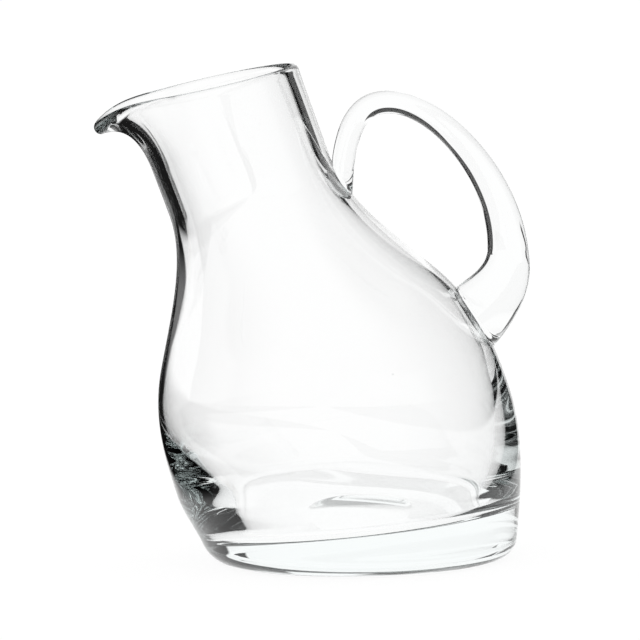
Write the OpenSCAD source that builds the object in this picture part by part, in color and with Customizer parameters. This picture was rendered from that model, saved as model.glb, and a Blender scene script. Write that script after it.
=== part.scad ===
// Clear glass jug: a blown body whose neck leans towards a pulled pouring lip,
// with a heavy base and a strap handle applied at the back.
// Millimetres, +Z up. The origin is the middle of the base, on the table.
// The pouring lip points to -X and the handle to +X.

/* [Body] */
// length along the leaning axis, from the table to the middle of the rim
body_len = 213.6; // [195:0.2:235]
// lean of the neck away from upright, in degrees
lean = 19; // [12:0.5:24]
// length of axis over which the body bends from upright to the full lean
lean_len = 60; // [45:1:75]
// diameter of the base, before its heel is rounded
base_d = 132; // [120:0.5:140]
// radius of the rounded heel
heel_r = 8; // [4:0.5:12]
// diameter at the belly
belly_d = 150.4; // [140:0.2:164]
// height of the belly along the axis
belly_at = 51; // [42:1:60]
// diameter half-way up the shoulder
shoulder_d = 126; // [112:0.5:134]
// height of that diameter along the axis
shoulder_at = 108; // [98:1:116]
// steepness of the shoulder, as a multiple of the mean slope from belly to neck
shoulder_steep = 1.8; // [1.2:0.05:2.2]
// diameter of the neck at its narrowest
neck_d = 73.4; // [66:0.2:86]
// height of the neck along the axis
neck_at = 169; // [160:1:178]

/* [Rim and pouring lip] */
// outside diameter of the rim, away from the lip
rim_d = 74.4; // [66:0.2:90]
// height along the axis where the rim begins to open into the lip
lip_at = 188; // [182:0.5:194]
// rise of the rim towards the lip, in degrees across the axis
rim_rise = 7.4; // [0:0.2:10]
// how far the lip reaches past the rim
lip_reach = 17; // [8:0.5:24]
// how far the tip of the lip droops
lip_droop = 5.4; // [0:0.2:9]
// half of the angle around the neck that the lip takes up, in degrees
lip_half_angle = 57; // [40:1:75]
// thickness of the fire-polished rim
rim_t = 6; // [4:0.1:8]

/* [Wall and base] */
// wall of the belly and shoulder
belly_wall = 2.6; // [2:0.1:4]
// wall of the neck
neck_wall = 5.6; // [3:0.1:7]
// thickness of the base under the cavity
floor_t = 18; // [14:0.5:22]
// tilt of the cavity's floor, which rises towards the handle, in degrees
floor_tilt = 4; // [0:0.5:6]
// wall where the rounded bottom corner of the cavity ends
corner_wall = 13.5; // [11:0.5:17]
// width of that corner, from its end in to the flat floor
corner_w = 7.5; // [5:0.5:15]
// height of that corner above the floor
corner_h = 6; // [4:0.5:9]
// wall at the widest place of the cavity
low_wall = 4; // [3.4:0.2:9]
// height of that place along the axis
low_at = 70; // [64:1:80]
// height along the axis where the cavity has the full lean of the neck
turn_at = 115; // [100:1:130]
// diameter of the hollow under the base
punt_d = 48; // [20:1:70]
// depth of the hollow under the base
punt_h = 1; // [0.6:0.1:3]

/* [Handle] */
// height of the upper joint along the axis
handle_top_at = 161; // [154:0.5:168]
// height of the lower joint along the axis
handle_low_at = 84; // [78:0.5:92]
// rise of the loop above its upper joint
handle_rise = 30.6; // [22:0.2:38]
// distance of the crown of the loop from the upper joint
handle_crown = 22; // [16:0.5:28]
// distance that the loop stands out past its lower joint
handle_reach = 14.2; // [10:0.2:24]
// height of the widest point of the loop above its lower joint
handle_bulge = 26; // [20:0.5:34]
// thickness of the strap at its crown
strap_t_top = 10; // [7:0.2:13]
// thickness of the strap at its widest point
strap_t_low = 18; // [12:0.2:21]
// thickness of the strap where it runs into the shoulder
strap_t_foot = 31; // [22:0.5:36]
// width of the strap at its crown
strap_w_top = 15; // [10:0.2:20]
// width of the strap at its widest point
strap_w_low = 19; // [14:0.2:26]
// width of the strap where it runs into the shoulder
strap_w_foot = 25; // [18:0.5:32]

/* [Hidden] */
columns = 64;
side_rings = 20;
lip_rings = 8;
round_rings = 5;
heel_rings = 7;
strap_sides = 24;
strap_rings = 12;
glass = [0.84, 0.90, 0.90, 0.35];

bend_r = lean_len * 180 / (PI * lean);
shoulder_slope = shoulder_steep * (neck_d - belly_d) / 2 / (neck_at - belly_at);
base_slope = 0.7 * (belly_d - base_d) / 2 / belly_at;
neck_slope = 0.3 * (rim_d - neck_d) / (body_len - neck_at);
turn_from = floor_t / 3;
corner_at = floor_t + corner_h;
corner_slope = 0.5;
shoulder_wall = 1.2 * belly_wall;

function mix(a, b, t) = a + (b - a) * t;
function ease(t) = let (u = min(1, max(0, t))) u * u * (3 - 2 * u);
function wrap(a) = abs((a % 360 + 540) % 360 - 180);

// cubic from [x, y, slope] to [x, y, slope]
function cubic(a, b, x) =
    let (w = b[0] - a[0], t = (x - a[0]) / w)
    a[1] * (2 * t ^ 3 - 3 * t ^ 2 + 1) + a[2] * w * (t ^ 3 - 2 * t ^ 2 + t)
    + b[1] * (3 * t ^ 2 - 2 * t ^ 3) + b[2] * w * (t ^ 3 - t ^ 2);
function along(k, x, i = 0) =
    i == len(k) - 2 || x <= k[i + 1][0] ? cubic(k[i], k[i + 1], x) : along(k, x, i + 1);
function bezier(p, t) =
    len(p) == 1 ? p[0] : bezier([for (i = [0 : len(p) - 2]) mix(p[i], p[i + 1], t)], t);

// leaning axis: an arc from upright to the full lean, then straight
function axis_turn(s) = min(s / lean_len, 1) * lean;
function axis_point(s) =
    let (a = axis_turn(s), rest = max(0, s - lean_len))
    [-bend_r * (1 - cos(a)) - rest * sin(lean), bend_r * sin(a) + rest * cos(lean)];
function place(s, r, th, turn) =
    let (c = axis_point(s), x = r * cos(th))
    [c[0] + x * cos(turn), r * sin(th), c[1] + x * sin(turn)];

// outside of the body
outer_marks = [
    [0, base_d / 2, base_slope],
    [belly_at, belly_d / 2, 0],
    [shoulder_at, shoulder_d / 2, shoulder_slope],
    [neck_at, neck_d / 2, 0],
    [body_len, rim_d / 2, neck_slope]
];
function outer_r(s) = along(outer_marks, s);
function heel_cut(s) = s < heel_r ? heel_r - sqrt(heel_r ^ 2 - (heel_r - s) ^ 2) : 0;
// the heel is cut by height above the table, which a ring on the bent axis gains or loses
function outer_spot(s, th) =
    let (r = outer_r(s), up = s * (1 + r * cos(th) / bend_r))
    place(s, r - heel_cut(up), th, axis_turn(s));
function back_spot(s) = outer_spot(s, 0);

// inside of the body, whose rounded bottom stays nearly level while the neck leans
corner_r = outer_r(corner_at) - corner_wall;
floor_r = corner_r - corner_w;
inner_marks = [
    [corner_at, corner_r, corner_slope],
    [low_at, outer_r(low_at) - low_wall, 0],
    [shoulder_at, shoulder_d / 2 - shoulder_wall, shoulder_slope],
    [neck_at, neck_d / 2 - neck_wall, 0],
    [lip_at, outer_r(lip_at) - neck_wall, 0]
];
function inner_turn(s) =
    mix(floor_tilt, lean, ease((s - turn_from) / (turn_at - turn_from)));
function inner_spot(s, th) = place(s, along(inner_marks, s), th, inner_turn(s));
function corner_spot(t, th) =
    let (p = bezier([
        [corner_at, corner_r],
        [floor_t, mix(floor_r, corner_r, 0.72)],
        [floor_t, floor_r]
    ], t))
    place(p[0], p[1], th, inner_turn(p[0]));

// pouring lip: the middle of the wall follows a curve that turns outwards near the spout
function lip_share(th) =
    let (a = wrap(th - 180))
    a < lip_half_angle ? 0.5 + 0.5 * cos(180 * a / lip_half_angle) : 0;
function lip_curve(th) =
    let (
        g = lip_share(th),
        r0 = outer_r(lip_at) - neck_wall / 2,
        r2 = (rim_d - rim_t) / 2 + lip_reach * g,
        s2 = body_len - tan(rim_rise) * r2 * cos(th) - lip_droop * g ^ 3
    )
    [[lip_at, r0], [mix(lip_at, s2, 0.5 + 0.5 * g ^ 3), r0], [s2, r2]];
function lip_way(c, t) =
    let (d = (1 - t) * (c[1] - c[0]) + t * (c[2] - c[1]))
    d / norm(d);
function lip_wall(t) = mix(neck_wall, rim_t, t ^ 3);
// side +1 is the outside, -1 the inside, and t the way round the rim's end
function lip_spot(t, th, side) =
    let (c = lip_curve(th), p = bezier(c, t), d = lip_way(c, t), h = side * lip_wall(t) / 2)
    place(p[0] - h * d[1], p[1] + h * d[0], th, lean);
function rim_spot(t, th) =
    let (
        a = 180 * t,
        c = lip_curve(th),
        d = lip_way(c, 1),
        h = rim_t / 2,
        out = [-d[1], d[0]],
        p = c[2] + h * (cos(a) * out + sin(a) * d)
    )
    place(p[0], p[1], th, lean);

angles = [for (j = [0 : columns - 1]) j * 360 / columns];
side_from = heel_r / (1 - base_d / 2 / bend_r);
outer_heights = concat(
    [for (i = [0 : heel_rings - 1]) side_from * (1 - cos(90 * i / heel_rings))],
    [for (i = [0 : side_rings - 1]) mix(side_from, lip_at, i / side_rings)]
);
body_rings = concat(
    [for (s = outer_heights) [for (th = angles) outer_spot(s, th)]],
    [for (i = [0 : lip_rings]) [for (th = angles) lip_spot(i / lip_rings, th, 1)]],
    [for (i = [1 : round_rings - 1]) [for (th = angles) rim_spot(i / round_rings, th)]],
    [for (i = [lip_rings : -1 : 0]) [for (th = angles) lip_spot(i / lip_rings, th, -1)]],
    [for (i = [side_rings - 1 : -1 : 0])
        [for (th = angles) inner_spot(mix(corner_at, lip_at, i / side_rings), th)]],
    [for (i = [1 : round_rings]) [for (th = angles) corner_spot(i / round_rings, th)]]
);

// solid through a row of rings that run counter-clockwise seen from ahead
module loft(rings) {
    n = len(rings[0]);
    last = len(rings) - 1;
    polyhedron(
        points = [for (r = rings) each r],
        faces = concat(
            [[for (j = [0 : n - 1]) j]],
            [for (i = [0 : last - 1], j = [0 : n - 1], k = [0, 1])
                let (a = i * n + j, b = i * n + (j + 1) % n)
                k == 0 ? [a, a + n, b + n] : [a, b + n, b]],
            [[for (j = [n - 1 : -1 : 0]) last * n + j]]
        ),
        convexity = 8
    );
}

// strap handle: the middle of the strap runs in three curves, in the plane y = 0
top_joint = [back_spot(handle_top_at)[0], back_spot(handle_top_at)[2]];
low_joint = [back_spot(handle_low_at)[0], back_spot(handle_low_at)[2]];
crown = top_joint + [handle_crown, handle_rise];
bulge = low_joint + [handle_reach, handle_bulge];
strap_start = top_joint + [1, -0.6 * handle_rise];
strap_end = low_joint - 0.25 * [handle_reach, handle_reach];
strap_curves = [
    [strap_start, [strap_start[0], mix(strap_start[1], crown[1], 0.79)],
        [mix(strap_start[0], crown[0], 0.38), crown[1]], crown],
    [crown, [mix(crown[0], bulge[0], 0.44), crown[1]],
        [bulge[0], mix(bulge[1], crown[1], 0.48)], bulge],
    [bulge, [bulge[0], mix(bulge[1], low_joint[1], 0.46)],
        strap_end + [0.75, 0.66] * handle_reach, strap_end]
];
function strap_way(c, t) =
    let (d = bezier([for (i = [0 : 2]) c[i + 1] - c[i]], t))
    d / norm(d);
strap_t = [[strap_t_top, strap_t_top], [strap_t_top, strap_t_low], [strap_t_low, strap_t_foot]];
strap_w = [[strap_w_top, strap_w_top], [strap_w_top, strap_w_low], [strap_w_low, strap_w_foot]];
function rounded(v) = sign(v) * abs(v) ^ 0.8;
function strap_ring(k, t) =
    let (
        c = strap_curves[k],
        p = bezier(c, t),
        d = strap_way(c, t),
        out = [-d[1], d[0]],
        u = k == 1 ? t ^ 2 : t,
        h = mix(strap_t[k][0], strap_t[k][1], u) / 2,
        w = mix(strap_w[k][0], strap_w[k][1], u) / 2
    )
    [for (j = [0 : strap_sides - 1])
        let (
            a = -j * 360 / strap_sides,
            q = p + h * rounded(cos(a)) * out
        )
        [q[0], w * rounded(sin(a)), q[1]]];
strap = [for (k = [0 : 2], i = [(k == 0 ? 0 : 1) : strap_rings]) strap_ring(k, i / strap_rings)];

// back sector of the body's outside, which the ends of the strap are pressed on to
sector = 12;
sector_heights = [for (i = [5 : side_rings - 1]) mix(side_from, lip_at, i / side_rings)];
function axis_spot(s) = [axis_point(s)[0], 0, axis_point(s)[1]];
sector_rings = [for (s = sector_heights)
    concat([axis_spot(s)], [for (j = [-sector : sector]) outer_spot(s, j * 360 / columns)])];

module body() {
    punt_r = (punt_d ^ 2 / 4 + punt_h ^ 2) / (2 * punt_h);
    color(glass)
        difference() {
            loft(body_rings);
            translate([0, 0, punt_h - punt_r])
                sphere(r = punt_r, $fn = 96);
        }
}

module handle() {
    color(glass)
        difference() {
            loft(strap);
            loft(sector_rings);
        }
}

body();
handle();
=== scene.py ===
import math

import bpy
import numpy as np
from bpy.props import FloatProperty, FloatVectorProperty, IntProperty, PointerProperty
from mathutils import Matrix, Vector


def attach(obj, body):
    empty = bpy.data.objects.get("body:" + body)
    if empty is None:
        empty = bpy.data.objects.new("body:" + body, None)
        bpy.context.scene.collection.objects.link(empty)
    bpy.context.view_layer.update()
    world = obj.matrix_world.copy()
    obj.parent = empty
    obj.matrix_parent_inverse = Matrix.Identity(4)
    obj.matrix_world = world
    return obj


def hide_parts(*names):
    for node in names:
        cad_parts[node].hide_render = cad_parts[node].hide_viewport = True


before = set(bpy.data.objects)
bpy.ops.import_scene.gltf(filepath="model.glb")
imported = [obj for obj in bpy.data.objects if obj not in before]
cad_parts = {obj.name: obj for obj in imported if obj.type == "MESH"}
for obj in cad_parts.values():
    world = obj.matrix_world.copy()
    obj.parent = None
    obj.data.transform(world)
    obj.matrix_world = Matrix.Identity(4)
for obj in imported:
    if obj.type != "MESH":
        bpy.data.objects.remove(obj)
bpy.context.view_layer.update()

bl_info = {
    "name": "Leaning glass jug",
    "version": (1, 0, 0),
    "blender": (4, 5, 0),
    "location": "View3D > Sidebar > Jug",
    "description": "Blown glass jug with a leaning neck, a pulled lip and an applied strap handle",
    "category": "Add Mesh",
}

BODY = "root"
WHITE = (1.0, 1.0, 1.0, 1.0)

# share of a flat's radius at its innermost and outermost ring, and the rings that close the strap's ends
MIDDLE_RING, EDGE_RING = 0.1, 0.97
SEAT_RINGS = (0.97, 0.8, 0.6, 0.4, 0.2, 0.04)
# metres between an edge of the underside and the ring next to it
RING_STEP = 0.0005
# halvings in each search for a place on the wall
HALVINGS = 44

# metres from the jug to the table's edge, and from the jug's underside to the table
TABLE_HALF, TABLE_GAP = 9, 0.0002
# camera: width of the sensor in mm and far limit in metres
SENSOR, FAR_LIMIT = 36, 40
# how often a ray may cross glass or be reflected in it
BOUNCES = 32


def length(name, mm, text):
    return FloatProperty(name=name, description=text, default=mm / 1000, min=0, unit="LENGTH", precision=4)


def angle(name, degrees, text):
    return FloatProperty(name=name, description=text, default=math.radians(degrees), subtype="ANGLE")


def share(name, value, text):
    return FloatProperty(name=name, description=text, default=value, min=0, precision=4)


def colour(name, rgb, text):
    return FloatVectorProperty(name=name, description=text, default=rgb, size=3, min=0, max=1,
                               subtype="COLOR")


def levels(name, start, end, text):
    """A soft edge: where it begins and where it ends."""
    return FloatVectorProperty(name=name, description=text, default=(start, end), size=2, precision=4)


def edge(name, start, end, text):
    """A soft edge in mm."""
    return FloatVectorProperty(name=name, description=text, default=(start / 1000, end / 1000), size=2,
                               unit="LENGTH", precision=4)


def sweep(name, start, end, text):
    """A soft edge in degrees."""
    return FloatVectorProperty(name=name, description=text, size=2, unit="ROTATION",
                               default=(math.radians(start), math.radians(end)))


def count(name, value, text):
    return IntProperty(name=name, description=text, default=value, min=3)


class JugBodySizes(bpy.types.PropertyGroup):
    body_len: length("Body length", 213.6, "Along the leaning axis, from the table to the middle of the rim")
    lean: angle("Lean", 19, "Lean of the neck away from upright")
    lean_len: length("Bend", 60, "Length of axis over which the body bends to its full lean")
    base_d: length("Base", 132, "Diameter of the base before its heel is rounded")
    heel_r: length("Heel", 8, "Radius of the rounded heel")
    belly_d: length("Belly", 150.4, "Diameter at the belly")
    belly_at: length("Belly height", 51, "Height of the belly along the axis")
    shoulder_d: length("Shoulder", 126, "Diameter half-way up the shoulder")
    shoulder_at: length("Shoulder height", 108, "Height of that diameter along the axis")
    shoulder_steep: share("Shoulder steepness", 1.8, "Multiple of the mean slope from belly to neck")
    neck_d: length("Neck", 73.4, "Diameter of the neck at its narrowest")
    neck_at: length("Neck height", 169, "Height of the neck along the axis")
    rim_d: length("Rim", 74.4, "Outside diameter of the rim, away from the lip")
    lip_at: length("Lip start", 188, "Height along the axis where the rim opens into the lip")
    rim_rise: angle("Rim rise", 7.4, "Rise of the rim towards the lip")
    lip_reach: length("Lip reach", 17, "How far the lip reaches past the rim")
    lip_droop: length("Lip droop", 5.4, "How far the tip of the lip droops")
    lip_half: angle("Lip half angle", 57, "Half of the angle that the lip takes up round the neck")
    rim_t: length("Rim thickness", 6, "Thickness of the fire-polished rim")
    shoulder_wall: length("Shoulder wall", 3.12, "Wall half-way up the shoulder")
    neck_wall: length("Neck wall", 5.6, "Wall of the neck")
    floor_t: length("Base thickness", 18, "Glass under the cavity")
    floor_tilt: angle("Floor tilt", 4, "Tilt of the cavity's floor, which rises towards the handle")
    corner_wall: length("Corner wall", 13.5, "Wall where the rounded bottom corner of the cavity ends")
    corner_w: length("Corner width", 7.5, "Width of that corner, from its end in to the flat floor")
    corner_h: length("Corner height", 6, "Height of that corner above the floor")
    corner_slope: share("Corner slope", 0.5, "Slope of the cavity's side above the corner")
    low_wall: length("Low wall", 4, "Wall at the widest place of the cavity")
    low_at: length("Low wall height", 70, "Height of that place along the axis")
    turn_at: length("Cavity turn", 115, "Height along the axis where the cavity has the neck's full lean")
    punt_d: length("Punt", 48, "Diameter of the hollow under the base")
    punt_h: length("Punt depth", 1, "Depth of the hollow under the base")
    base_flare: share("Base flare", 0.7, "Multiple of the mean slope from base to belly, at the base")
    rim_flare: share("Rim flare", 0.3, "Slope at the rim, as a multiple of the mean widening from the neck")
    corner_pull: share("Corner pull", 0.72, "How square the bottom corner of the cavity is")
    columns: count("Columns", 144, "Faces round the body")
    punt_rows: count("Hollow rows", 9, "Rings in the hollow under the base")
    flat_rows: count("Flat rows", 8, "Rings on the underside, and on the cavity's floor")
    heel_rows: count("Heel rows", 18, "Rings round the heel")
    side_rows: count("Side rows", 72, "Rings up the side, outside and inside")
    lip_rows: count("Lip rows", 22, "Rings from the neck to the rim, outside and inside")
    rim_rows: count("Rim rows", 12, "Steps over the round of the rim")
    corner_rows: count("Corner rows", 18, "Rings in the cavity's bottom corner")


class JugHandleSizes(bpy.types.PropertyGroup):
    top_at: length("Upper joint", 161, "Height of the upper joint along the axis")
    low_at: length("Lower joint", 84, "Height of the lower joint along the axis")
    rise: length("Rise", 30.6, "Rise of the loop above its upper joint")
    crown: length("Crown", 22, "Distance of the crown from the upper joint")
    reach: length("Reach", 14.2, "How far the loop stands out past its lower joint")
    bulge: length("Bulge", 26, "Height of the widest point above the lower joint")
    t_top: length("Crown thickness", 10, "Thickness of the strap at its crown")
    t_low: length("Bulge thickness", 18, "Thickness of the strap at its widest point")
    t_foot: length("Foot thickness", 31, "Thickness of the strap where it runs into the shoulder")
    w_top: length("Crown width", 15, "Width of the strap at its crown")
    w_low: length("Bulge width", 19, "Width of the strap at its widest point")
    w_foot: length("Foot width", 25, "Width of the strap where it runs into the shoulder")
    joint_gap: length("Joint film", 0.06, "Thin film between the strap's ends and the body")
    leg_out: length("Leg shift", 1, "How far outside the upper joint the strap starts")
    root: share("Root", 0.6, "How far below its upper joint the strap starts, as a share of the rise")
    sink: share("Sink", 0.25, "How far inside its lower joint the strap ends, as a share of the reach")
    leg_pull: share("Leg pull", 0.79, "How far up the upper leg stays upright")
    crown_in: share("Crown inwards", 0.38, "Where the curve towards the crown grows level")
    crown_out: share("Crown outwards", 0.44, "How far past the crown the curve stays level")
    bulge_up: share("Bulge upwards", 0.48, "How far above its widest point the strap stays upright")
    bulge_down: share("Bulge downwards", 0.46, "How far below its widest point the strap stays upright")
    foot_out: share("Foot outwards", 0.75, "Outward pull of the foot's curve, as a share of the reach")
    foot_up: share("Foot upwards", 0.66, "Upward pull of the foot's curve, as a share of the reach")
    roundness: share("Roundness", 0.8, "Shape of the strap's section: 1 is an ellipse and less is squarer")
    sides: count("Sides", 48, "Faces round the strap")
    leg_rows: count("Leg rows", 30, "Steps along the upper leg")
    arch_rows: count("Arch rows", 40, "Steps along the arch")
    foot_rows: count("Foot rows", 36, "Steps along the foot")


class JugGlassLook(bpy.types.PropertyGroup):
    tint: colour("Tint", (0.80, 0.93, 0.92), "Colour that thick glass takes on")
    tint_depth: share("Tint depth", 2.0, "Absorption per metre of glass")
    ior: share("Refraction", 1.5, "Index of refraction")
    wave_size: length("Wave size", 34, "Length of the waves that blowing leaves in the wall")
    wave_depth: length("Wave depth", 0.02, "Height of those waves")
    seed_size: length("Seed spacing", 26, "Distance between the small seeds in the glass")
    seed_edge: levels("Seed edge", 0.008, 0.02, "Edge of a seed, as a share of the spacing")
    seed_pick: levels("Seed pick", 0.62, 0.64, "Chance level above which a place holds a seed")
    seed_depth: share("Seed depth", 4, "Depth of a seed as a multiple of the waves")
    seed_tint: colour("Seed tint", (0.45, 0.47, 0.47), "Colour of a seed")
    smear_scale: share("Smear scale", 22, "Smears of handling to the metre")
    smear_level: levels("Smear level", 0.52, 0.78, "Level of the smears from which the surface is hazy")
    haze: share("Haze", 0.012, "Most roughness where the surface has been handled")


class JugStudioLook(bpy.types.PropertyGroup):
    aim: FloatVectorProperty(name="Aim", description="Point at the middle of the picture",
                             default=(-0.0163, 0, 0.1036), size=3, subtype="TRANSLATION", unit="LENGTH")
    distance: length("Distance", 3600, "From the camera to that point")
    elevation: angle("Elevation", 6, "Camera above the horizon")
    roll: angle("Roll", -1.1, "Roll of the camera")
    field: length("Field", 275.2, "Width of the picture at that point")
    card_at: length("Card distance", 500, "From the jug to the white card behind it")
    card_half: length("Card half width", 1500, "Half of the width of the card")
    card_top: length("Card top", 550, "Height of the card")
    dark: share("Dark", 0.01, "Brightness of the dark surroundings")
    over: share("Overhead", 0.3, "Brightness of the white overhead")
    front: share("Front", 0.95, "Brightness of the room in front of the jug")
    glow: share("Glow", 1.0, "Brightness of the card and table that the glass shows")
    # painted reflections: rays that a wall reflected see the card and table white between these limits, and
    # dark outside them apart from a few patches
    wall_left: edge("Wall left", -155, -125, "Left limit of the white that reflections in a wall show")
    wall_right: edge("Wall right", 210, 240, "Right limit of the white that reflections in a wall show")
    floor_glow: share("Floor glow", 0.92, "Share of the floor's white that no shadow reaches")
    floor_colour: colour("Floor", (0.10, 0.10, 0.10), "Share of the floor's white that takes the shadow")


class JugCardEdges(bpy.types.PropertyGroup):
    """Soft edges on the card behind the jug: across it from the jug's middle, or up from the table. They
    bound dark and white patches that only chosen kinds of ray see, painted shade and painted reflections in
    the glass
    """
    right_top: edge("Right, top", 240, 265, "Where the card turns dark on the right, at its top")
    right_foot: edge("Right, foot", 500, 540, "Where the card turns dark on the right, at the table")
    right_slope: share("Right slope", 1.2, "How fast that edge nears the jug with height")
    far_right: edge("Far right", 550, 600, "Where straight rays see the card white again, far to the right")
    far_height: edge("Far height", 190, 230, "Height from which it is white there")
    strap: edge("Strap", 360, 385, "Where straight rays see the card dark on the right, at the table")
    strap_slope: share("Strap slope", 0.5, "How fast that edge nears the jug with height")
    foot_left: edge("Foot left", -640, -620, "Left side of the dark patch that the handle's foot shows")
    foot_right: edge("Foot right", -360, -340, "Right side of that patch")
    foot_height: edge("Foot height", 240, 260, "Lower side of that patch")
    bar_left: edge("Bar left", -180, -150, "Left end of a dark bar that straight rays see behind the jug")
    bar_right: edge("Bar right", 300, 330, "Right end of that bar")
    bar_low: edge("Bar low", 278, 290, "Lower side of that bar")
    bar_top: edge("Bar top", 450, 462, "Upper side of that bar")
    corner: edge("Corner", -310, -270, "Right side of a low dark corner on the left, not for straight rays")
    corner_top: edge("Corner top", 40, 60, "Top of that corner")
    wall_lean: share("Wall lean", 0.4, "How fast the left limit of a wall's white nears the jug with height")
    low_left: edge("Low left", 120, 150, "Left side of a low white patch for reflections inside a wall")
    low_right: edge("Low right", 450, 480, "Right side of that patch")
    low_top: edge("Low top", 120, 140, "Top of that patch")
    outer: edge("Outer", -340, -310, "Where reflections show the card white again, far to the left")
    outer_foot: edge("Outer foot", -180, -120, "A second limit of that white, at the table")
    outer_slope: share("Outer slope", 1.6, "How fast the second limit leaves the jug with height")
    outer_height: edge("Outer height", 50, 150, "Height from which it is white there")
    trap_height: edge("Trap height", 190, 220, "Height from which trapped rays see the card dark")


class JugTableEdges(bpy.types.PropertyGroup):
    """Soft edges on the table: across it or back from the jug's middle. They bound dark and white patches
    that only the glass sees, some for chosen kinds of ray only, painted shade and painted reflections
    """
    left_start: edge("Left start", -1040, -1000, "Far side of a dark strip on the left")
    left_end: edge("Left end", -240, -200, "Near side of that strip")
    left_front: edge("Left front", 400, 440, "Front of that strip")
    right: edge("Right", 320, 360, "Where the table turns dark on the right")
    right_front: edge("Right front", 200, 240, "Front of that dark part")
    near_start: edge("Near start", -700, -600, "Left side of the white that reflections show in front")
    near_end: edge("Near end", 0, 100, "Right side of that white")
    near_back: edge("Near back", -120, 0, "Back of that white")
    turn_start: edge("Turn start", 100, 130, "Left side of a dark patch that the handle's lower turn shows")
    turn_end: edge("Turn end", 450, 480, "Right side of that patch")
    turn_front: edge("Turn front", 0, 30, "Front of that patch")
    turn_back: edge("Turn back", 70, 100, "Slanting back of that patch")
    turn_slope: share("Turn slope", 1.3, "How fast that back leaves the jug towards the right")


class JugRoomEdges(bpy.types.PropertyGroup):
    """Soft edges of the room: round to the right from straight behind the jug, or up"""
    left_start: sweep("Left card start", -125, -100, "Side of the left white card that is nearer the camera")
    left_end: sweep("Left card end", -60, -35, "Side of the left white card that is further away")
    right_start: sweep("Right card start", 95, 120, "Side of the right white card that is further away")
    right_end: sweep("Right card end", 150, 175, "Side of the right white card that is nearer the camera")
    cards_top: sweep("Cards top", 22.92, 28.65, "Top of both cards")
    over: sweep("Overhead edge", 37.82, 45.84, "Where the white overhead begins")
    front: sweep("Front edge", 71.62, 148.97, "Where the room in front of the jug grows light")


def mix(a, b, t):
    return a + (b - a) * t


def ease(t):
    u = np.clip(t, 0, 1)
    return u * u * (3 - 2 * u)


def bezier(points, t):
    row = list(points)
    while len(row) > 1:
        row = [mix(row[i], row[i + 1], t) for i in range(len(row) - 1)]
    return row[0]


def cubic(a, b, x):
    """Cubic from (x, y, slope) to (x, y, slope)."""
    w = b[0] - a[0]
    t = (x - a[0]) / w
    return (a[1] * (2 * t**3 - 3 * t**2 + 1) + a[2] * w * (t**3 - 2 * t**2 + t)
            + b[1] * (3 * t**2 - 2 * t**3) + b[2] * w * (t**3 - t**2))


def along(marks, x):
    x = np.asarray(x, float)
    y = cubic(marks[0], marks[1], x)
    for a, b in zip(marks[1:], marks[2:]):
        y = np.where(x > a[0], cubic(a, b, x), y)
    return y


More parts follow.
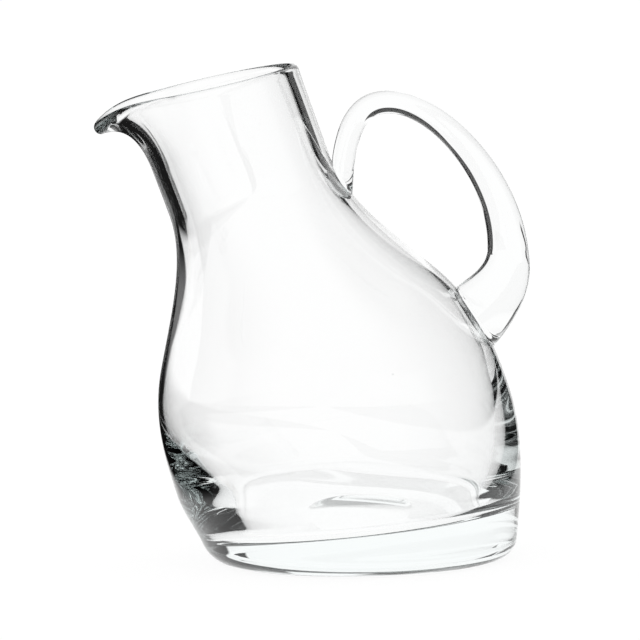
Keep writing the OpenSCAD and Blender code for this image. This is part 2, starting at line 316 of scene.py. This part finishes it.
class BodyForm:
    """The blown body: an axis that bends from upright to the lean, and radii along it."""

    def __init__(self, p):
        self.p = p
        self.bend = p.lean_len / p.lean
        steep = p.shoulder_steep * (p.neck_d - p.belly_d) / 2 / (p.neck_at - p.belly_at)
        self.outer = [
            (0, p.base_d / 2, p.base_flare * (p.belly_d - p.base_d) / 2 / p.belly_at),
            (p.belly_at, p.belly_d / 2, 0),
            (p.shoulder_at, p.shoulder_d / 2, steep),
            (p.neck_at, p.neck_d / 2, 0),
            (p.body_len, p.rim_d / 2, p.rim_flare * (p.rim_d - p.neck_d) / (p.body_len - p.neck_at)),
        ]
        self.corner_at = p.floor_t + p.corner_h
        self.corner_r = along(self.outer, self.corner_at) - p.corner_wall
        self.floor_r = self.corner_r - p.corner_w
        self.inner = [
            (self.corner_at, self.corner_r, p.corner_slope),
            (p.low_at, along(self.outer, p.low_at) - p.low_wall, 0),
            (p.shoulder_at, p.shoulder_d / 2 - p.shoulder_wall, steep),
            (p.neck_at, p.neck_d / 2 - p.neck_wall, 0),
            (p.lip_at, along(self.outer, p.lip_at) - p.neck_wall, 0),
        ]

    def turn(self, s):
        return np.minimum(np.asarray(s) / self.p.lean_len, 1) * self.p.lean

    def axis(self, s):
        a = self.turn(s)
        rest = np.maximum(0, s - self.p.lean_len)
        return (-self.bend * (1 - np.cos(a)) - rest * np.sin(self.p.lean),
                self.bend * np.sin(a) + rest * np.cos(self.p.lean))

    def place(self, s, r, th, turn):
        x, z = self.axis(s)
        u = r * np.cos(th)
        return np.stack(np.broadcast_arrays(x + u * np.cos(turn), r * np.sin(th), z + u * np.sin(turn)), -1)

    def outside(self, s, th, proud=0.0):
        """Outer wall. The heel is cut by height above the table."""
        h = self.p.heel_r
        r = along(self.outer, s)
        up = np.minimum(s * (1 + r * np.cos(th) / self.bend), h)
        cut = h - np.sqrt(np.maximum(0, h * h - (h - up) ** 2))
        return self.place(s, r - cut + proud, th, self.turn(s))

    def where(self, points):
        """For points near the wall: height along the axis, angle round it and distance outside the wall."""
        x, y, z = np.moveaxis(points, -1, 0)
        low, high = np.zeros(len(x)), np.full(len(x), self.p.body_len)
        for _ in range(HALVINGS):
            s = (low + high) / 2
            ax, az = self.axis(s)
            t = self.turn(s)
            above = (z - az) * np.cos(t) - (x - ax) * np.sin(t) > 0
            low, high = np.where(above, s, low), np.where(above, high, s)
        u = (x - ax) * np.cos(t) + (z - az) * np.sin(t)
        return s, np.arctan2(y, u), np.hypot(u, y) - along(self.outer, s)

    def inner_turn(self, s):
        p = self.p
        start = p.floor_t / 3
        return mix(p.floor_tilt, p.lean, ease((s - start) / (p.turn_at - start)))

    def inside(self, s, th):
        return self.place(s, along(self.inner, s), th, self.inner_turn(s))

    def corner(self, t, th):
        p = self.p
        s = bezier([self.corner_at, p.floor_t, p.floor_t], t)
        r = bezier([self.corner_r, mix(self.floor_r, self.corner_r, p.corner_pull), self.floor_r], t)
        return self.place(s, r, th, self.inner_turn(s))

    def lip_curve(self, th):
        """Middle of the wall from neck to rim, which turns outwards at the pouring lip."""
        p = self.p
        off = np.abs(th - np.pi)
        g = np.where(off < p.lip_half, 0.5 + 0.5 * np.cos(np.pi * np.minimum(off / p.lip_half, 1)), 0)
        r0 = along(self.outer, p.lip_at) - p.neck_wall / 2 + 0 * g
        r2 = (p.rim_d - p.rim_t) / 2 + p.lip_reach * g
        s2 = p.body_len - np.tan(p.rim_rise) * r2 * np.cos(th) - p.lip_droop * g**3
        return np.array([[p.lip_at + 0 * g, r0], [mix(p.lip_at, s2, 0.5 + 0.5 * g**3), r0], [s2, r2]])

    def lip(self, t, th, side):
        """Side 1 is the outside of the lip and -1 the inside."""
        p = self.p
        c = self.lip_curve(th)
        s, r = bezier(c, t)
        d = mix(c[1] - c[0], c[2] - c[1], t)
        d = d / np.hypot(*d)
        h = side * mix(p.neck_wall, p.rim_t, t**3) / 2
        return self.place(s - h * d[1], r + h * d[0], th, p.lean)

    def rim(self, a, th):
        """Half round of the rim, from its outside at a = 0 to its inside at a = pi."""
        p = self.p
        c = self.lip_curve(th)
        d = c[2] - c[1]
        d = d / np.hypot(*d)
        h = p.rim_t / 2
        s, r = c[2] + h * (np.cos(a) * np.array([-d[1], d[0]]) + np.sin(a) * d)
        return self.place(s, r, th, p.lean)

    def rings(self):
        """Rings from the middle of the base, over outside and rim, to the middle of the cavity's floor."""
        p = self.p
        th = np.arange(p.columns) * 2 * np.pi / p.columns
        dome = (p.punt_d**2 / 4 + p.punt_h**2) / (2 * p.punt_h)
        rows = []
        for r in np.linspace(MIDDLE_RING, 1, p.punt_rows) * p.punt_d / 2:
            rows.append(self.flat_ring(r, p.punt_h - dome + math.sqrt(dome**2 - r**2), th))
        flat_end = p.base_d / 2 - p.heel_r
        for r in np.linspace(p.punt_d / 2 + RING_STEP, flat_end - RING_STEP, p.flat_rows):
            rows.append(self.flat_ring(r, 0, th))
        start = p.heel_r / (1 - p.base_d / 2 / self.bend)
        quarter = np.linspace(0, np.pi / 2, p.heel_rows, endpoint=False)
        rows += [self.outside(start * (1 - np.cos(a)), th) for a in quarter]
        rows += [self.outside(mix(start, p.lip_at, i / p.side_rows), th) for i in range(p.side_rows)]
        rows += [self.lip(i / p.lip_rows, th, 1) for i in range(p.lip_rows + 1)]
        rows += [self.rim(np.pi * i / p.rim_rows, th) for i in range(1, p.rim_rows)]
        rows += [self.lip(i / p.lip_rows, th, -1) for i in reversed(range(p.lip_rows + 1))]
        rows += [self.inside(mix(self.corner_at, p.lip_at, i / p.side_rows), th)
                 for i in reversed(range(p.side_rows))]
        rows += [self.corner(i / p.corner_rows, th) for i in range(1, p.corner_rows + 1)]
        tilt = self.inner_turn(p.floor_t)
        for r in np.linspace(EDGE_RING, MIDDLE_RING, p.flat_rows) * self.floor_r:
            rows.append(self.place(p.floor_t, r, th, tilt))
        return rows

    @staticmethod
    def flat_ring(r, z, th):
        return np.stack([r * np.cos(th), r * np.sin(th), z + 0 * th], -1)


class StrapForm:
    """The strap handle, whose two ends are cut where they meet the body."""

    def __init__(self, p, body):
        self.p, self.body = p, body
        self.a = -np.arange(p.sides) * 2 * np.pi / p.sides
        top = body.outside(p.top_at, np.array(0.0))[[0, 2]]
        low = body.outside(p.low_at, np.array(0.0))[[0, 2]]
        crown = top + [p.crown, p.rise]
        bulge = low + [p.reach, p.bulge]
        start = top + [p.leg_out, -p.root * p.rise]
        end = low - p.sink * np.array([p.reach, p.reach])
        self.curves = [
            [start, np.array([start[0], mix(start[1], crown[1], p.leg_pull)]),
             np.array([mix(start[0], crown[0], p.crown_in), crown[1]]), crown],
            [crown, np.array([mix(crown[0], bulge[0], p.crown_out), crown[1]]),
             np.array([bulge[0], mix(bulge[1], crown[1], p.bulge_up)]), bulge],
            [bulge, np.array([bulge[0], mix(bulge[1], low[1], p.bulge_down)]),
             end + np.array([p.foot_out, p.foot_up]) * p.reach, end],
        ]
        self.thick = [(p.t_top, p.t_top), (p.t_top, p.t_low), (p.t_low, p.t_foot)]
        self.wide = [(p.w_top, p.w_top), (p.w_top, p.w_low), (p.w_low, p.w_foot)]

    def at(self, k, t):
        """Points of the strap's skin on curve k, one for each side, each at its own t."""
        t = np.broadcast_to(t, self.a.shape)[:, None]
        c = self.curves[k]
        middle = bezier(c, t)
        d = bezier([c[i + 1] - c[i] for i in range(3)], t)
        d = d / np.linalg.norm(d, axis=1)[:, None]
        out = np.stack([-d[:, 1], d[:, 0]], -1)
        u = t**2 if k == 1 else t
        h, w = mix(*self.thick[k], u) / 2, mix(*self.wide[k], u) / 2
        m = middle + h * self.rounded(np.cos(self.a))[:, None] * out
        return np.stack([m[:, 0], w[:, 0] * self.rounded(np.sin(self.a)), m[:, 1]], -1)

    def rounded(self, v):
        return np.sign(v) * np.abs(v) ** self.p.roundness

    def cut(self, k, free, buried):
        """For each side, where curve k meets the body between its free end and its buried end."""
        a, b = np.full(self.p.sides, float(free)), np.full(self.p.sides, float(buried))
        for _ in range(HALVINGS):
            t = (a + b) / 2
            clear = self.body.where(self.at(k, t))[2] > self.p.joint_gap
            a, b = np.where(clear, t, a), np.where(clear, b, t)
        return a

    def seat(self, edge):
        """Rings that close an end of the strap along the body's wall, from its edge inwards."""
        s, th, _ = self.body.where(edge)
        return [self.body.outside(mix(s.mean(), s, f), mix(th.mean(), th, f), self.p.joint_gap)
                for f in SEAT_RINGS]

    def rings(self):
        p = self.p
        first, last = self.cut(0, 1, 0), self.cut(2, 0, 1)
        rows = [self.at(0, mix(first, 1, i / p.leg_rows)) for i in range(p.leg_rows + 1)]
        rows += [self.at(1, i / p.arch_rows) for i in range(1, p.arch_rows + 1)]
        rows += [self.at(2, last * i / p.foot_rows) for i in range(1, p.foot_rows + 1)]
        return self.seat(rows[0])[::-1] + rows + self.seat(rows[-1])


def lofted(name, rings):
    """A closed, smooth mesh through rings of equal count, with its two ends closed to a point."""
    n, rows = len(rings[0]), len(rings)
    points = np.concatenate([*rings, [rings[0].mean(0)], [rings[-1].mean(0)]])
    faces = [(i * n + j, i * n + (j + 1) % n, (i + 1) * n + (j + 1) % n, (i + 1) * n + j)
             for i in range(rows - 1) for j in range(n)]
    faces += [((j + 1) % n, j, rows * n) for j in range(n)]
    faces += [((rows - 1) * n + j, (rows - 1) * n + (j + 1) % n, rows * n + 1) for j in range(n)]
    mesh = bpy.data.meshes.new(name)
    mesh.from_pydata(points.tolist(), [], faces)
    mesh.polygons.foreach_set("use_smooth", [True] * len(faces))
    mesh.update()
    piece = bpy.data.objects.new(name, mesh)
    bpy.context.scene.collection.objects.link(piece)
    return piece


class Value:
    """A number on a socket. Arithmetic on it adds Math nodes to its graph."""

    def __init__(self, graph, socket):
        self.graph, self.socket = graph, socket

    def math(self, operation, *values):
        return self.graph.add("ShaderNodeMath", {"operation": operation}, dict(enumerate(values)))[0]

    def __add__(self, other):
        return self.math("ADD", self, other)

    def __sub__(self, other):
        return self.math("SUBTRACT", self, other)

    def __rsub__(self, other):
        return self.math("SUBTRACT", other, self)

    def __mul__(self, other):
        return self.math("MULTIPLY", self, other)

    def __abs__(self):
        return self.math("ABSOLUTE", self)

    def most(self, other):
        return self.math("MAXIMUM", self, other)

    def step(self, start, end, low, high):
        """Smooth step from low at start to high at end."""
        return self.graph.add("ShaderNodeMapRange", {"interpolation_type": "SMOOTHSTEP"},
                              {0: self, 1: start, 2: end, 3: low, 4: high})[0]

    def rise(self, edge):
        """Nought before a soft edge and one past it."""
        return self.step(*edge, 0.0, 1.0)

    def fall(self, edge):
        """One before a soft edge and nought past it."""
        return self.step(*edge, 1.0, 0.0)

    def up_to(self, number):
        """One for whole numbers up to this one and nought above it."""
        return self.step(number + 0.4, number + 0.6, 1.0, 0.0)


class Graph:
    """Adds nodes to one node tree."""

    def __init__(self, tree):
        self.tree = tree
        tree.nodes.clear()

    def add(self, kind, settings=None, sockets=None):
        """A node with its settings and sockets, as a list of its outputs."""
        node = self.tree.nodes.new(kind)
        for name, value in (settings or {}).items():
            setattr(node, name, value)
        for key, value in (sockets or {}).items():
            socket = node.inputs[key]
            if isinstance(value, Value):
                self.tree.links.new(value.socket, socket)
            else:
                socket.default_value = value
        return Outputs(self, node)


class Outputs:
    """The outputs of a node, by number or by name."""

    def __init__(self, graph, node):
        self.graph, self.node = graph, node

    def __getitem__(self, key):
        return Value(self.graph, self.node.outputs[key])


def new_material(name):
    """A material and its empty graph."""
    material = bpy.data.materials.new(name)
    material.use_nodes = True
    return material, Graph(material.node_tree)


def blown_glass(name, look):
    """Clear glass with the slow waves of blowing, small seeds and a trace of handling."""
    material, g = new_material(name)
    place = g.add("ShaderNodeTexCoord")["Object"]
    waves = g.add("ShaderNodeTexNoise", None,
                  {"Vector": place, "Scale": 1 / look.wave_size, "Detail": 1.0, "Roughness": 0.4})[0]
    smears = g.add("ShaderNodeTexNoise", None,
                   {"Vector": place, "Scale": look.smear_scale, "Detail": 5.0, "Roughness": 0.6,
                    "Distortion": 0.8})[0]
    cells = g.add("ShaderNodeTexVoronoi", {"feature": "F1"}, {"Vector": place, "Scale": 1 / look.seed_size})
    pick = g.add("ShaderNodeSeparateColor", None, {"Color": cells["Color"]})[0]
    seeds = cells["Distance"].fall(look.seed_edge) * pick.rise(look.seed_pick)
    bump = g.add("ShaderNodeBump", None,
                 {"Strength": 1.0, "Distance": look.wave_depth, "Height": waves - seeds * look.seed_depth})[0]
    clear = g.add("ShaderNodeMix", {"data_type": "RGBA"},
                  {"Factor": seeds, 6: WHITE, 7: (*look.seed_tint, 1.0)})[2]
    glass = g.add("ShaderNodeBsdfPrincipled", None, {
        "Base Color": clear,
        "Roughness": smears.rise(look.smear_level) * look.haze,
        "IOR": look.ior,
        "Transmission Weight": 1.0,
        "Normal": bump,
    })[0]
    depth = g.add("ShaderNodeVolumeAbsorption", None,
                  {"Color": (*look.tint, 1.0), "Density": look.tint_depth})[0]
    g.add("ShaderNodeOutputMaterial", None, {"Surface": glass, "Volume": depth})
    return material


def glass_ray(graph):
    """One for rays that glass has bent or reflected, nought for the camera's own and for light."""
    path = graph.add("ShaderNodeLightPath")
    return path["Is Glossy Ray"].most(path["Is Transmission Ray"])


# The card, table and world use these kinds of ray to paint shade and light that only some rays see, which the
# glass shows as dark bands and reflections.
class WallRays:
    """Kinds of ray, by how often they crossed the glass's surface and how often they were reflected.

    Direct rays were never reflected, and rays within have been inside the glass. The other kinds met one
    thickness of glass at most: straight rays crossed it, turned rays were reflected by it, and trapped rays
    were reflected in it more than three times.
    """

    def __init__(self, graph):
        path = graph.add("ShaderNodeLightPath")
        crossings, turns = path["Transmission Depth"], path["Glossy Depth"]
        once = crossings.up_to(2)
        self.direct = turns.up_to(0)
        self.within = 1 - crossings.up_to(0)
        self.straight = once * self.direct
        self.turned = once * (1 - self.direct)
        self.trapped = once * (1 - turns.up_to(3))


def studio_world(look, room):
    """Plain white to the camera and as light. The glass shows it dark between white cards. The cards show
    only to rays that were never reflected or never inside the glass, and trapped rays see the front dark:
    painted shade by kind of ray.
    """
    world = bpy.data.worlds.new("studio_white")
    bpy.context.scene.world = world
    world.use_nodes = True
    g = Graph(world.node_tree)
    ray = g.add("ShaderNodeSeparateXYZ", None, {0: g.add("ShaderNodeTexCoord")["Generated"]})
    azimuth = ray[0].math("ARCTAN2", ray[0], ray[1])
    height = ray[2].math("ARCSINE", ray[2])
    rays = WallRays(g)
    left = azimuth.rise(room.left_start) * azimuth.fall(room.left_end)
    right = azimuth.rise(room.right_start) * azimuth.fall(room.right_end)
    # painted shade: the cards vanish for rays reflected inside the glass, and the front goes dark for trapped
    # rays
    cards = left.most(right) * height.fall(room.cards_top) * rays.direct.most(1 - rays.within)
    over = height.rise(room.over) * look.over
    front = abs(azimuth).step(*room.front, look.dark, look.front) * (1 - rays.trapped)
    white = cards.most(over).most(front).most(1 - glass_ray(g))
    background = g.add("ShaderNodeBackground", None, {"Color": WHITE, "Strength": white})[0]
    g.add("ShaderNodeOutputWorld", None, {"Surface": background})


def studio_card(look, card):
    """White card behind the jug. Each kind of ray sees its own dark edges and patches on it: painted shade,
    and white patches as painted reflections, which the glass shows.
    """
    material, g = new_material("white_card")
    spot = g.add("ShaderNodeSeparateXYZ", None, {0: g.add("ShaderNodeNewGeometry")["Position"]})
    x, z = spot[0], spot[2]
    rays = WallRays(g)

    far = x.rise(card.far_right) * z.rise(card.far_height)
    right = x.fall(card.right_top).most((x + z * card.right_slope).fall(card.right_foot))
    strap = 1 - (x + z * card.strap_slope).fall(card.strap).most(far)
    foot = x.rise(card.foot_left) * x.fall(card.foot_right) * z.rise(card.foot_height)
    bar = x.rise(card.bar_left) * x.fall(card.bar_right) * z.rise(card.bar_low) * z.fall(card.bar_top)
    corner = x.fall(card.corner) * z.fall(card.corner_top)
    middle = x.rise(look.wall_left) * x.fall(look.wall_right) * (x - z * card.wall_lean).rise(look.wall_left)
    low = x.rise(card.low_left) * x.fall(card.low_right) * z.fall(card.low_top)
    outer = x.fall(card.outer) * (x + z * card.outer_slope).fall(card.outer_foot) * z.rise(card.outer_height)

    # painted shade and painted reflections: straight, turned and trapped rays each get their own dark and
    # white patches
    white = right.most(rays.straight * far)
    white *= 1 - rays.straight * strap.most(foot)
    white *= 1 - rays.straight * bar
    white *= 1 - (1 - rays.straight) * corner
    white *= 1 - rays.turned * (1 - middle.most(rays.within * low).most(outer))
    white *= 1 - rays.trapped * z.rise(card.trap_height)
    glow = g.add("ShaderNodeEmission", None,
                 {"Color": WHITE, "Strength": (white * look.glow).most(look.dark)})[0]
    g.add("ShaderNodeOutputMaterial", None, {"Surface": glow})
    return material


def studio_floor(look, table):
    """A white table that keeps the jug's shadow. Only the glass sees its dark edges and patches, some for
    chosen kinds of ray only: painted shade and painted reflections.
    """
    material, g = new_material("white_table")
    spot = g.add("ShaderNodeSeparateXYZ", None, {0: g.add("ShaderNodeNewGeometry")["Position"]})
    x, y = spot[0], spot[1]
    rays = WallRays(g)

    left = x.rise(table.left_start) * x.fall(table.left_end) * y.rise(table.left_front)
    right = x.rise(table.right) * y.rise(table.right_front)
    middle = x.rise(look.wall_left) * x.fall(look.wall_right)
    near = x.rise(table.near_start) * x.fall(table.near_end) * y.fall(table.near_back)
    turn = x.rise(table.turn_start) * x.fall(table.turn_end) * y.rise(table.turn_front)
    turn *= (x * table.turn_slope - y).rise(table.turn_back)

    # painted shade for the glass: dark strips left and right, and patches for turned, straight and trapped
    # rays
    white = (1 - left) * (1 - right)
    white *= 1 - rays.turned * (1 - middle.most(near))
    white *= 1 - rays.straight * turn
    white *= 1 - rays.trapped
    seen = g.add("ShaderNodeEmission", None,
                 {"Color": WHITE, "Strength": (white * look.glow).most(look.dark)})[0]
    glow = g.add("ShaderNodeEmission", None, {"Color": WHITE, "Strength": look.floor_glow})[0]
    paint = g.add("ShaderNodeBsdfDiffuse", None, {"Color": (*look.floor_colour, 1.0)})[0]
    plain = g.add("ShaderNodeAddShader", None, {0: glow, 1: paint})[0]
    g.add("ShaderNodeOutputMaterial", None,
          {"Surface": g.add("ShaderNodeMixShader", None, {0: glass_ray(g), 1: plain, 2: seen})[0]})
    return material


class JUG_OT_body(bpy.types.Operator):
    """Blow the body: base, belly, shoulder, leaning neck and pulled lip"""
    bl_idname = "jug.body"
    bl_label = "Body"

    def execute(self, context):
        scene = context.scene
        piece = lofted("jug_body", BodyForm(scene.jug_body).rings())
        piece.data.materials.append(blown_glass("body_glass", scene.jug_glass))
        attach(piece, BODY)
        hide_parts("body")
        return {"FINISHED"}


class JUG_OT_handle(bpy.types.Operator):
    """Apply the strap handle to the back of the body"""
    bl_idname = "jug.handle"
    bl_label = "Handle"

    def execute(self, context):
        scene = context.scene
        piece = lofted("jug_handle", StrapForm(scene.jug_handle, BodyForm(scene.jug_body)).rings())
        piece.data.materials.append(blown_glass("handle_glass", scene.jug_glass))
        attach(piece, BODY)
        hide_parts("handle")
        return {"FINISHED"}


class JUG_OT_stage(bpy.types.Operator):
    """Set up the table, the white surroundings and the camera"""
    bl_idname = "jug.stage"
    bl_label = "Stage"

    def execute(self, context):
        scene, look = context.scene, context.scene.jug_studio
        scene.view_settings.view_transform = "Standard"
        scene.cycles.max_bounces = BOUNCES
        scene.cycles.transmission_bounces = BOUNCES
        scene.cycles.glossy_bounces = BOUNCES
        studio_world(look, scene.jug_room)
        half = TABLE_HALF
        self.flat("table_top", studio_floor(look, scene.jug_table),
                  [(-half, -half, 0), (half, -half, 0), (half, half, 0), (-half, half, 0)])
        side, far, top = look.card_half, look.card_at, look.card_top
        card = self.flat("back_card", studio_card(look, scene.jug_card),
                         [(-side, far, 0), (side, far, 0), (side, far, top), (-side, far, top)])
        card.visible_camera = card.visible_diffuse = card.visible_shadow = False
        self.camera(scene, look)
        return {"FINISHED"}

    def flat(self, name, material, corners):
        mesh = bpy.data.meshes.new(name)
        mesh.from_pydata(corners, [], [(0, 1, 2, 3)])
        sheet = bpy.data.objects.new(name, mesh)
        sheet.location.z = -TABLE_GAP
        sheet.data.materials.append(material)
        bpy.context.scene.collection.objects.link(sheet)
        return sheet

    def camera(self, scene, look):
        camera = bpy.data.objects.new("camera", bpy.data.cameras.new("camera"))
        scene.collection.objects.link(camera)
        right = Vector((1, 0, 0))
        ahead = Vector((0, math.cos(look.elevation), -math.sin(look.elevation)))
        up = right.cross(ahead)
        turned = Matrix.Rotation(look.roll, 3, -ahead)
        right, up = turned @ right, turned @ up
        camera.matrix_world = Matrix.Translation(Vector(look.aim) - ahead * look.distance) @ Matrix(
            (right, up, -ahead)).transposed().to_4x4()
        camera.data.sensor_width = SENSOR
        camera.data.lens = SENSOR * look.distance / look.field
        camera.data.clip_end = FAR_LIMIT
        scene.camera = camera


class JUG_PT_panel(bpy.types.Panel):
    """The jug's pieces, sizes and finish"""
    bl_idname = "JUG_PT_panel"
    bl_label = "Leaning glass jug"
    bl_space_type = "VIEW_3D"
    bl_region_type = "UI"
    bl_category = "Jug"

    def draw(self, context):
        for operator in STEPS:
            self.layout.operator(operator.bl_idname)
        for group in GROUPS:
            box = self.layout.box()
            for name in getattr(context.scene, group).bl_rna.properties.keys():
                if name not in ("name", "rna_type"):
                    box.prop(getattr(context.scene, group), name)


STEPS = (JUG_OT_body, JUG_OT_handle, JUG_OT_stage)
GROUPS = {
    "jug_body": JugBodySizes,
    "jug_handle": JugHandleSizes,
    "jug_glass": JugGlassLook,
    "jug_studio": JugStudioLook,
    "jug_card": JugCardEdges,
    "jug_table": JugTableEdges,
    "jug_room": JugRoomEdges,
}


def register():
    for cls in (*GROUPS.values(), *STEPS, JUG_PT_panel):
        bpy.utils.register_class(cls)
    for name, cls in GROUPS.items():
        setattr(bpy.types.Scene, name, PointerProperty(type=cls))


def unregister():
    for name in GROUPS:
        delattr(bpy.types.Scene, name)
    for cls in (JUG_PT_panel, *reversed(STEPS), *reversed(GROUPS.values())):
        bpy.utils.unregister_class(cls)


def main():
    register()
    bpy.ops.jug.body()
    bpy.ops.jug.handle()
    bpy.ops.jug.stage()


if __name__ == "__main__":
    main()
